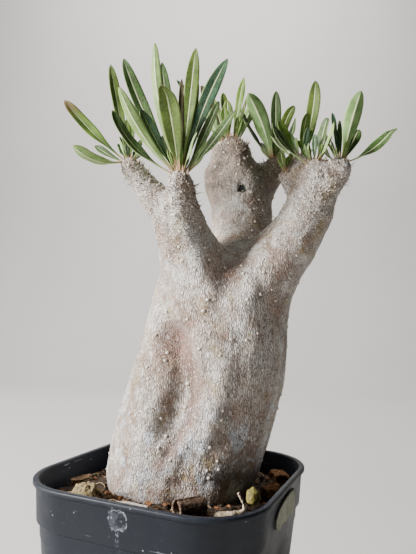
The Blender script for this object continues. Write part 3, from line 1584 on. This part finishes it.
        height = drop + wave + np.where(top, thickness - rib * 0.5, -thickness - rib)
        tip = ease((v - 0.86) / 0.14) * blade.hook * MM
        points = centre + across * (half * u + tip)[:, None] + normal * height[:, None]
        move_points(thing, points)
        paint(thing, "scorch", np.asarray(ease((v - 1 + blade.scorch) / 0.3)) if blade.scorch else np.zeros(len(v)))
        smooth_shade(thing)
        return thing

    @staticmethod
    def smooth(stops: np.ndarray, values: np.ndarray, at: np.ndarray) -> np.ndarray:
        """Values at any share, on a smooth curve through those at the stops.

        Args:
            stops: Shares in rising order.
            values: A row for each stop.
            at: The shares that are asked for.

        Returns:
            A row for each of them.
        """
        slopes = np.gradient(values, stops, axis=0)
        index = np.clip(np.searchsorted(stops, at) - 1, 0, len(stops) - 2)
        gap = (stops[index + 1] - stops[index])[:, None]
        t = ((at - stops[index])[:, None]) / gap
        a, b = values[index], values[index + 1]
        ta, tb = slopes[index] * gap, slopes[index + 1] * gap
        return (
            a * (2 * t**3 - 3 * t**2 + 1) + ta * (t**3 - 2 * t**2 + t) + b * (3 * t**2 - 2 * t**3) + tb * (t**3 - t**2)
        )

    def inner_leaves(self) -> list[SmallLeaf]:
        """Young leaves in the middle of each head, which close the gaps between the grown ones.

        Returns:
            The leaves.
        """
        draw = random.Random(self.seed)
        found = []
        for head in HEADS:
            for number in range(self.inner_each):
                length = draw.uniform(5, 11) * (0.6 if head.name == "right_small" else 1)
                found.append(
                    SmallLeaf(
                        head.name,
                        number * 137.5 + draw.uniform(-20, 20),
                        draw.uniform(60, 82),
                        length,
                        draw.uniform(1.6, 2.8),
                        draw.uniform(0, 20),
                        draw.uniform(-20, 20),
                        Blade(draw.choice((OLIVE, DARK, BRIGHT, BLUE)), UPPER, 0.1),
                    )
                )
        return found

    def build(self, bark: bpy.types.Object) -> None:
        """Grows every leaf.

        Args:
            bark: The finished caudex that they grow from.
        """
        for tone in Tone:
            self.finishes[tone] = leaf_finishes(tone)
        master = self.master()
        skin = skin_of(bark)
        draw = random.Random(self.seed)
        for head, blades in CAD_LEAVES.items():
            for number, blade in enumerate(blades, 1):
                node = f"leaf_{head}_{number:02d}"
                run = self.run_of_node(node, skin)
                thing = self.bend(f"blade_{head}_{number:02d}", run, blade, master, draw)
                finish_piece(thing, self.finishes[blade.tone], [node])
        counts: dict[str, int] = {}
        for leaf in (*SMALL_LEAVES, *self.inner_leaves()):
            counts[leaf.head] = counts.get(leaf.head, 0) + 1
            run = self.run_grown(leaf, skin)
            name = f"young_{leaf.head}_{counts[leaf.head]:02d}"
            thing = self.bend(name, run, leaf.blade, master, draw)
            finish_piece(thing, self.finishes[leaf.blade.tone])
        discard(master)


# The pot and what is in it


@dataclass
class Pot:
    """The square nursery pot. Sizes are in millimetres."""

    width: float = 90.0
    height: float = 90.0
    corner: float = 23.0
    wall: float = 1.2
    floor: float = 1.8
    lip_overhang: float = 1.0
    lip_depth: float = 1.8
    collar_depth: float = 14.5
    collar_taper: float = math.radians(3.5)
    step: float = 1.1
    body_taper: float = math.radians(6.5)
    base_edge: float = 1.5
    bead_drop: float = 5.2
    drain_radius: float = 5.5
    drain_offset: float = 17.0
    corner_steps: int = 14

    def collar_half(self, z: float) -> float:
        """Half the collar's outside width at a height."""
        return self.width / 2 - self.lip_overhang - (self.height - z) * math.tan(self.collar_taper)

    def body_half(self, z: float) -> float:
        """Half the body's outside width at a height below the collar."""
        low = self.height - self.collar_depth
        return self.collar_half(low) - self.step - (low - z) * math.tan(self.body_taper)

    def profile(self) -> list[tuple[float, float]]:
        """Half width and height of each ring, up the outside, over the lip and down the inside.

        Returns:
            The rings, from the foot on.
        """
        top, lip = self.height, self.width / 2
        low = top - self.collar_depth
        lip_low = top - self.lip_depth
        soft = 0.35
        outside = [
            (self.body_half(0) - self.base_edge, 0),
            (self.body_half(0.5) - 0.45, 0.35),
            (self.body_half(self.base_edge), self.base_edge),
            (self.body_half(low - self.bead_drop - 0.5), low - self.bead_drop - 0.5),
            (self.body_half(low - self.bead_drop) + 0.22, low - self.bead_drop),
            (self.body_half(low - 0.7), low - 0.7),
            (self.body_half(low) + 0.25, low - 0.12),
            (self.collar_half(low) - 0.4, low),
            (self.collar_half(low), low + 0.4),
            (self.collar_half(lip_low - soft), lip_low - soft),
            (self.collar_half(lip_low) + 0.3, lip_low - 0.1),
            (lip - soft, lip_low),
            (lip, lip_low + soft),
            (lip, top - soft),
            (lip - soft, top),
        ]
        inner_low = low + self.wall
        inside = [
            (self.collar_half(top) - self.wall + 0.4, top),
            (self.collar_half(top) - self.wall, top - 0.4),
            (self.collar_half(inner_low) - self.wall, inner_low),
            (self.body_half(inner_low) - self.wall, inner_low - 0.3),
            (self.body_half(self.floor) - self.wall, self.floor + self.base_edge),
            (self.body_half(self.floor) - self.wall - self.base_edge, self.floor),
        ]
        return outside + inside

    def build(self) -> bpy.types.Object:
        """Models the pot from a rounded square drawn up ring by ring, then cuts its drain holes.

        Returns:
            The dressed pot.
        """
        rings = self.profile()
        first = rings[0][0]
        bpy.ops.object.select_all(action="DESELECT")
        bpy.ops.mesh.primitive_plane_add(size=2 * first * MM)
        thing = added("nursery_pot")
        edit_all(thing)
        bpy.ops.mesh.bevel(
            offset=(first - self.corner_middle) * MM, segments=self.corner_steps, affect="VERTICES"
        )
        bpy.ops.mesh.select_all(action="SELECT")
        half, z = rings[0]
        for next_half, next_z in rings[1:]:
            bpy.ops.mesh.extrude_region_move(TRANSFORM_OT_translate={"value": (0, 0, (next_z - z) * MM)})
            ratio = next_half / half
            bpy.ops.transform.resize(value=(ratio, ratio, 1), center_override=(0, 0, 0))
            half, z = next_half, next_z
        leave_edit()
        self.centre_corners(thing)
        tidy_faces(thing)
        self.cut_drains(thing)
        smooth_shade(thing, 50)
        return finish_piece(thing, [PotFinish().build()], ["pot"])

    def centre_corners(self, thing: bpy.types.Object) -> None:
        """Gives all the rings' corners one middle, so that the wall keeps its thickness round them.

        Args:
            thing: The pot, with equal rings in order.
        """
        points = points_of(thing)
        rings = self.profile()
        count = len(points) // len(rings)
        middle, first = self.corner_middle * MM, rings[0][0] * MM
        for number, (half, _) in enumerate(rings):
            ring = points[number * count : (number + 1) * count, :2]
            start = ring * (rings[0][0] / half)
            corner = np.sign(start) * middle
            ring[:] = corner + (start - corner) * (half * MM - middle) / (first - middle)
        move_points(thing, points)

    @property
    def corner_middle(self) -> float:
        """How far each corner's middle is from the pot's, across and along."""
        return self.width / 2 - self.corner

    def cut_drains(self, thing: bpy.types.Object) -> None:
        """Cuts four round holes in the floor."""
        for across in (-1, 1):
            for along in (-1, 1):
                bpy.ops.object.select_all(action="DESELECT")
                bpy.ops.mesh.primitive_cylinder_add(
                    vertices=32,
                    radius=self.drain_radius * MM,
                    depth=3 * self.floor * MM,
                    location=(across * self.drain_offset * MM, along * self.drain_offset * MM, self.floor / 2 * MM),
                )
                cutter = added("drain")
                apply_place(cutter)
                modify(thing, "BOOLEAN", operation="DIFFERENCE", solver="EXACT", object=cutter)
                discard(cutter)


@dataclass
class Label:
    """The torn scrap of label on the pot's right wall. Sizes are in millimetres."""

    cuts: int = 7
    fray: float = 0.45

    def build(self) -> bpy.types.Object:
        """Models the scrap with a frayed outline, and paints its torn edge.

        Returns:
            The dressed scrap.
        """
        thing = cad_copy("tape_scrap", "label_scrap")
        edit_all(thing)
        bpy.ops.mesh.dissolve_limited(angle_limit=math.radians(2))
        bpy.ops.mesh.select_all(action="SELECT")
        bpy.ops.mesh.quads_convert_to_tris()
        bpy.ops.mesh.subdivide(number_cuts=self.cuts)
        leave_edit()
        points = points_of(thing)
        flat = points[:, 1:] / MM
        edge = self.outline(thing)
        away = np.array([min(np.linalg.norm(edge - p, axis=1)) for p in flat])
        inward = flat.mean(0) - flat
        inward /= np.linalg.norm(inward, axis=1)[:, None] + 1e-9
        ragged = np.array([noise.noise(Vector((p[0], p[1], 0)) * 1.1) for p in flat]) * self.fray
        move = inward * (np.abs(ragged) * (away < 0.05))[:, None]
        points[:, 1:] += move * MM
        points[:, 0] += np.array([noise.noise(Vector(p) / (5 * MM)) for p in points]) * 0.05 * MM
        move_points(thing, points)
        paint(thing, "torn", np.clip(1 - away / 0.5, 0, 1) * 0.75)
        tidy_faces(thing)
        smooth_shade(thing, 40)
        return finish_piece(thing, [LabelFinish().build()], ["tape_scrap"])

    def outline(self, thing: bpy.types.Object) -> np.ndarray:
        """The points round the scrap's rim, in its plane, in millimetres.

        Args:
            thing: The scrap.

        Returns:
            An array of two columns.
        """
        rim = set()
        for face in thing.data.polygons:
            if abs(face.normal.x) < 0.7:
                rim.update(face.vertices)
        return points_of(thing)[sorted(rim)][:, 1:] / MM


@dataclass
class Soil:
    """The potting mix: a rough crust, with crumbs, chips and fibres strewn over it. Sizes in millimetres."""

    voxel: float = 1.0
    crust: float = 0.9
    crumbs: int = 520
    fibres: int = 70
    fibre_length: tuple[float, float] = (3, 9)
    wall_clear: float = 41.0
    seed: int = 4
    crumb_shapes: tuple[tuple[Spot, float], ...] = (
        ((1, 0.8, 0.7), 0.35), ((1, 0.7, 0.25), 0.3), ((1, 0.5, 0.4), 0.5),
    )
    kinds: tuple[tuple[str, float, tuple[float, float], EarthFinish], ...] = (
        ("dark_crumbs", 0.42, (0.7, 2.6), EarthFinish(
            "dark_crumb", (0.012, 0.008, 0.006), (0.038, 0.025, 0.016), (0.10, 0.07, 0.04), 0.8, 0.4)),
        ("bark_crumbs", 0.32, (0.8, 3.6), EarthFinish(
            "orange_crumb", (0.045, 0.018, 0.008), (0.15, 0.066, 0.026), (0.30, 0.15, 0.06), 0.8, 0.4)),
        ("tan_crumbs", 0.16, (0.6, 2.2), EarthFinish(
            "tan_crumb", (0.20, 0.14, 0.08), (0.40, 0.31, 0.19), (0.58, 0.49, 0.34), 0.8, 0.4)),
        ("pale_grit", 0.10, (0.5, 1.5), EarthFinish(
            "pale_grit", (0.30, 0.28, 0.24), (0.52, 0.49, 0.44), (0.7, 0.68, 0.62), 0.6, 0.3)),
    )

    def build(self, bark: bpy.types.Object) -> None:
        """Models the crust and what is strewn on it.

        Args:
            bark: The caudex, which the crumbs keep clear of.
        """
        thing = cad_copy("soil", "potting_mix")
        modify(thing, "REMESH", mode="VOXEL", voxel_size=self.voxel * MM)
        points = points_of(thing)
        normals = normals_of(thing)
        top = np.asarray(ease((points[:, 2] / MM - SOIL_LEVEL + 1.5) / 1.0)) * np.clip(normals[:, 2], 0, 1)
        lumps = bumps(points / MM, 4.2, 2.2, 3) * self.crust + bumps(points / MM, 1.6, 6.1, 2) * 0.35
        points[:, 2] += (lumps - 0.25) * top * MM
        move_points(thing, points)
        smooth_shade(thing)
        soil = EarthFinish("potting_mix", (0.012, 0.008, 0.006), (0.045, 0.028, 0.017), (0.13, 0.08, 0.045), 1.4, 0.9)
        finish_piece(thing, [soil.build()], ["soil"])
        self.strew(skin_of(thing), skin_of(bark))

    def crumb_masters(self) -> list[bpy.types.Object]:
        """Models three crumbs, 1 m across: a round grain, a flat flake and a broken chip.

        Returns:
            The crumbs.
        """
        made = []
        for number, (squash, break_up) in enumerate(self.crumb_shapes):
            bpy.ops.object.select_all(action="DESELECT")
            bpy.ops.mesh.primitive_ico_sphere_add(subdivisions=2 if number == 0 else 1, radius=0.5)
            thing = added(f"crumb_{number}")
            edit_all(thing)
            bpy.ops.transform.resize(value=squash, center_override=(0, 0, 0))
            leave_edit()
            for vert in thing.data.vertices:
                spot = vert.co * 2.3 + Vector((number, 0, 0))
                push = Vector([noise.noise(spot + Vector((0, 0, axis * 7.3))) for axis in range(3)])
                vert.co += push * break_up * 0.45
            made.append(thing)
        return made

    def fibre_master(self) -> bpy.types.Object:
        """Models a bent fibre, 1 m long.

        Returns:
            The fibre.
        """
        bpy.ops.object.select_all(action="DESELECT")
        bpy.ops.mesh.primitive_cylinder_add(vertices=5, radius=0.03, depth=1, rotation=(0, math.pi / 2, 0))
        thing = added("fibre")
        apply_place(thing)
        edit_all(thing)
        for x in (-0.3, -0.1, 0.1, 0.3):
            bpy.ops.mesh.select_all(action="SELECT")
            bpy.ops.mesh.bisect(plane_co=(x, 0, 0), plane_no=(1, 0, 0))
        leave_edit()
        for vert in thing.data.vertices:
            vert.co.y += 0.12 * math.sin(vert.co.x * 5)
            vert.co.z += 0.10 * math.cos(vert.co.x * 6)
        return thing

    def strew(self, ground: BVHTree, bark: BVHTree) -> None:
        """Strews crumbs of four kinds and loose fibres over the crust.

        Args:
            ground: The crust.
            bark: The caudex.
        """
        masters = self.crumb_masters()
        fibre = self.fibre_master()
        draw = random.Random(self.seed)
        for name, share, sizes, finish in self.kinds:
            places = []
            while len(places) < self.crumbs * share:
                size = draw.uniform(sizes[0] ** 0.5, sizes[1] ** 0.5) ** 2
                spot = self.open_ground(ground, bark, draw, size)
                if spot is None:
                    continue
                turn = Matrix.Rotation(draw.uniform(0, math.tau), 4, "Z")
                tilt = Matrix.Rotation(draw.uniform(-0.6, 0.6), 4, "X")
                places.append(Matrix.Translation(spot) @ turn @ tilt @ Matrix.Scale(size * MM, 4))
            finish_piece(place_copies(name, masters, places), [finish.build()])
        places = []
        while len(places) < self.fibres:
            length = draw.uniform(*self.fibre_length)
            spot = self.open_ground(ground, bark, draw, length * 0.6)
            if spot is None:
                continue
            turn = Matrix.Rotation(draw.uniform(0, math.tau), 4, "Z")
            tilt = Matrix.Rotation(draw.uniform(-0.25, 0.25), 4, "Y")
            slim = Matrix.Diagonal((1, draw.uniform(0.5, 1.2), 1, 1))
            lift = Matrix.Translation(Vector((0, 0, 0.4 * MM)))
            places.append(lift @ Matrix.Translation(spot) @ turn @ tilt @ slim @ Matrix.Scale(length * MM, 4))
        dry = EarthFinish("dry_fibre_strewn", (0.16, 0.10, 0.055), (0.34, 0.25, 0.15), (0.52, 0.43, 0.30), 0.8, 0.2)
        finish_piece(place_copies("loose_fibres", [fibre], places), [dry.build()])
        discard(fibre, *masters)

    def open_ground(self, ground: BVHTree, bark: BVHTree, draw: random.Random, size: float) -> Vector | None:
        """A random place on the crust that is clear of the trunk and of the pot's wall, or None.

        Args:
            ground: The crust.
            bark: The caudex.
            draw: Its random numbers.
            size: How wide the place is, in millimetres.

        Returns:
            The place in metres, or None.
        """
        half = (self.wall_clear - size * 0.5) * MM
        x, y = draw.uniform(-half, half), draw.uniform(-half, half)
        corner = 20 * MM
        dx, dy = abs(x) - (half - corner), abs(y) - (half - corner)
        if dx > 0 and dy > 0 and math.hypot(dx, dy) > corner:
            return None
        place = ground.ray_cast(Vector((x, y, 0.12)), Vector((0, 0, -1)))[0]
        if place is None or place.z < (SOIL_LEVEL - 3) * MM:
            return None
        if bark.find_nearest(place)[3] < size * 0.35 * MM:
            return None
        return place + Vector((0, 0, size * 0.12 * MM))


@dataclass
class TopDressing:
    """The larger loose pieces on the soil, each roughened from its CAD shape. Sizes in millimetres."""

    chip: EarthFinish = EarthFinish(
        "bark_chip", (0.05, 0.02, 0.008), (0.22, 0.10, 0.035), (0.40, 0.21, 0.085), 0.9, 0.6, stretch=(1, 1, 0.35)
    )
    stone: EarthFinish = EarthFinish(
        "tan_pumice", (0.12, 0.085, 0.04), (0.30, 0.235, 0.12), (0.46, 0.39, 0.24), 1.0, 0.7, pits=1.6
    )
    curl: EarthFinish = EarthFinish(
        "curled_bark", (0.025, 0.015, 0.011), (0.12, 0.075, 0.05), (0.42, 0.33, 0.24), 0.8, 0.4, stretch=(0.5, 0.5, 1)
    )
    fibre: EarthFinish = EarthFinish(
        "dry_root", (0.30, 0.21, 0.13), (0.56, 0.45, 0.31), (0.76, 0.68, 0.54), 0.7, 0.3
    )
    grey_wood: EarthFinish = EarthFinish(
        "grey_twig", (0.16, 0.13, 0.11), (0.38, 0.34, 0.30), (0.58, 0.54, 0.48), 0.6, 0.3, stretch=(0.3, 1, 1)
    )
    bud: EarthFinish = EarthFinish(
        "green_bud", (0.07, 0.06, 0.015), (0.19, 0.165, 0.045), (0.32, 0.29, 0.11), 1.6, 0.2,
        stretch=(1, 1, 0.3), rough=0.6,
    )
    dead_leaf: EarthFinish = EarthFinish(
        "dead_leaf", (0.06, 0.035, 0.02), (0.19, 0.115, 0.06), (0.36, 0.25, 0.15), 0.9, 0.3, stretch=(1, 0.3, 1)
    )

    def build(self) -> None:
        """Models each piece."""
        self.rough_piece("pumice_stone", "pumice_lump", self.stone, 0.45, 1.6, 0.55)
        self.rough_piece("curled_bark", "bark_curl", self.curl, 0.25, 1.6, 0.08)
        self.rough_piece("dry_stalk", "dry_root_stalk", self.fibre, 0.2, 1.4, 0.14)
        self.rough_piece("twig", "grey_twig", self.grey_wood, 0.22, 1.2, 0.12)
        self.rough_piece("pale_bud", "green_bud", self.bud, 0.3, 2.4, 0.3)
        self.rough_piece("dry_leaf_bit", "dead_leaf_end", self.dead_leaf, 0.22, 2.0, 0.12)
        for number in (1, 2, 3):
            node = f"bark_chip_{number:02d}"
            self.rough_piece(node, f"broken_chip_{number:02d}", self.chip, 0.3, 1.5, 0.5)

    def rough_piece(
        self, node: str, name: str, finish: EarthFinish, voxel: float, size: float, depth: float
    ) -> None:
        """Refines a CAD node's shape and breaks up its surface.

        Args:
            node: The CAD node.
            name: The new piece's name.
            finish: Its finish.
            voxel: The mesh's fineness.
            size: The size of its breaks.
            depth: Their depth.
        """
        thing = cad_copy(node, name)
        modify(thing, "REMESH", mode="VOXEL", voxel_size=voxel * MM)
        modify(thing, "SMOOTH", factor=0.5, iterations=3)
        points = points_of(thing)
        lift = bumps(points / MM, size, len(name) * 1.3, 3) * depth
        move_points(thing, points + normals_of(thing) * (lift * MM)[:, None])
        smooth_shade(thing)
        finish_piece(thing, [finish.build()], [node])


# Stage, light and camera


@dataclass
class Studio:
    """A plain pale sweep, soft light from the upper left, and the camera."""

    lens: float = 33.5
    eye: Spot = (0.09219, -0.18774, 0.14836)
    right: Spot = (0.91802519, 0.39541731, 0.02957887)
    forward: Spot = (-0.3964814, 0.91430512, 0.08275652)
    ambient: float = 0.025
    key_power: float = 40.0
    fill_power: float = 0.08
    wall_back: float = 1.5
    wall_height: float = 2.4
    sweep_radius: float = 0.6

    def build(self) -> None:
        """Sets up the floor, the lights and the camera."""
        self.sweep()
        self.world()
        self.light("key", (-0.88, -0.32, 0.50), 0.30, self.key_power, (1.0, 0.975, 0.94))
        self.light("fill", (0.55, -0.75, 0.35), 0.7, self.fill_power, (0.94, 0.97, 1.0))
        self.light("back", (-0.10, 0.75, 0.60), 0.5, 0.5, (1.0, 1.0, 1.0))
        self.light("wall_wash", (0.0, 0.75, 1.3), 1.2, 24.0, (1.0, 0.99, 0.97), (0.0, 1.5, 0.35))
        self.camera()

    def sweep(self) -> None:
        """A floor that curves up into a backdrop."""
        bpy.ops.object.select_all(action="DESELECT")
        bpy.ops.mesh.primitive_plane_add(size=2, location=(0, 0, 0))
        thing = added("studio_sweep")
        edit_all(thing)
        bpy.ops.transform.resize(value=(4, self.wall_back, 1), center_override=(0, 0, 0))
        leave_edit()
        self.select_back(thing)
        bpy.ops.object.mode_set(mode="EDIT")
        bpy.ops.mesh.select_mode(type="EDGE")
        bpy.ops.mesh.extrude_region_move(TRANSFORM_OT_translate={"value": (0, 0, self.wall_height)})
        bpy.ops.mesh.select_mode(type="VERT")
        leave_edit()
        self.select_back(thing)
        bpy.ops.object.mode_set(mode="EDIT")
        bpy.ops.mesh.bevel(offset=self.sweep_radius, segments=24, affect="EDGES")
        leave_edit()
        thing.rotation_euler.z = PLANT_TURN
        apply_place(thing)
        smooth_shade(thing)
        thing.data.materials.append(FloorFinish().build())

    @staticmethod
    def select_back(thing: bpy.types.Object) -> None:
        """Selects the floor's back edge alone."""
        for vert in thing.data.vertices:
            vert.select = vert.co.y > 0 and vert.co.z < 0.1
        for edge in thing.data.edges:
            edge.select = all(thing.data.vertices[i].select for i in edge.vertices)
        for face in thing.data.polygons:
            face.select = False

    def world(self) -> None:
        """Even, pale light from all round."""
        world = bpy.data.worlds.new("studio")
        world.use_nodes = True
        background = world.node_tree.nodes["Background"]
        background.inputs["Color"].default_value = (0.90, 0.93, 0.97, 1)
        background.inputs["Strength"].default_value = self.ambient
        bpy.context.scene.world = world

    def light(
        self, name: str, place: Spot, size: float, power: float, colour: Colour, aim: Spot = (0.01, 0, 0.14)
    ) -> None:
        """An area light.

        Args:
            name: Its name.
            place: Where it stands, across, back and up from the pot's foot in the plant's turn, in metres.
            size: Its width.
            power: Its power in watts.
            colour: Its colour.
            aim: What it looks at, in the same frame.
        """
        data = bpy.data.lights.new(name, "AREA")
        data.size = size
        data.energy = power
        data.color = colour
        lamp = bpy.data.objects.new(name, data)
        bpy.context.scene.collection.objects.link(lamp)
        turn = Matrix.Rotation(PLANT_TURN, 3, "Z")
        lamp.location = turn @ Vector(place)
        lamp.rotation_euler = (turn @ Vector(aim) - lamp.location).to_track_quat("-Z", "Y").to_euler()

    def camera(self) -> None:
        """The camera, low in front of the pot and a little to its left."""
        data = bpy.data.cameras.new("camera")
        data.lens = self.lens
        data.sensor_width = 36
        data.clip_start = 0.01
        data.clip_end = 20
        ahead = Vector(self.forward).normalized()
        right = Vector(self.right)
        right = (right - ahead * right.dot(ahead)).normalized()
        up = right.cross(ahead)
        turn = Matrix((right, up, -ahead)).transposed().to_4x4()
        camera = bpy.data.objects.new("camera", data)
        bpy.context.scene.collection.objects.link(camera)
        camera.matrix_world = Matrix.Translation(Vector(self.eye)) @ turn
        bpy.context.scene.camera = camera


def main() -> None:
    """Builds every piece, in order."""
    logging.basicConfig(level=logging.INFO, format="%(message)s")
    bark = Caudex().build()
    Spines().build(bark)
    Foliage().build(bark)
    Pot().build()
    Label().build()
    Soil().build(bark)
    TopDressing().build()
    Studio().build()


if __name__ == "__main__":
    main()
